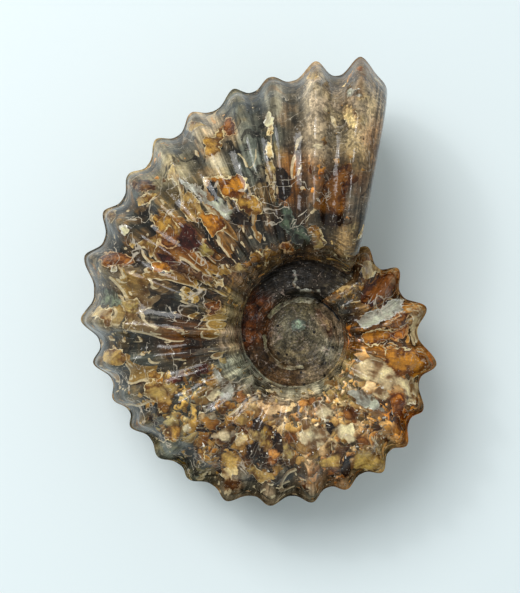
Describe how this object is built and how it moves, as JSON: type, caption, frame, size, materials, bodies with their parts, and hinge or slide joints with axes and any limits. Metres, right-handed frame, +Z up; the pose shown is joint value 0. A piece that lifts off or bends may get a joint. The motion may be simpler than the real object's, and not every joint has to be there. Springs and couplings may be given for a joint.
{
  "type": "ammonite fossil",
  "caption": "Polished ammonite fossil: a coarse-ribbed, heavily knobbed shell coiled flat, its newest end sawn off. It lies on its side.",
  "frame": {"origin": "on the surface that the fossil lies on, under the middle of its bounding box", "axes": "+Z up, nearly along the coil's axis; +Y along the longest extent, towards the sawn mouth's outer edge; the sawn mouth faces +X"},
  "size_m": [0.07, 0.0888, 0.0444],
  "materials": {
    "polished_stone": "polished, mottled amber, cream, brown and slate grey calcite and shell"
  },
  "bodies": {
    "root": {"ammonite": "polished_stone"}
  },
  "joints": []
}
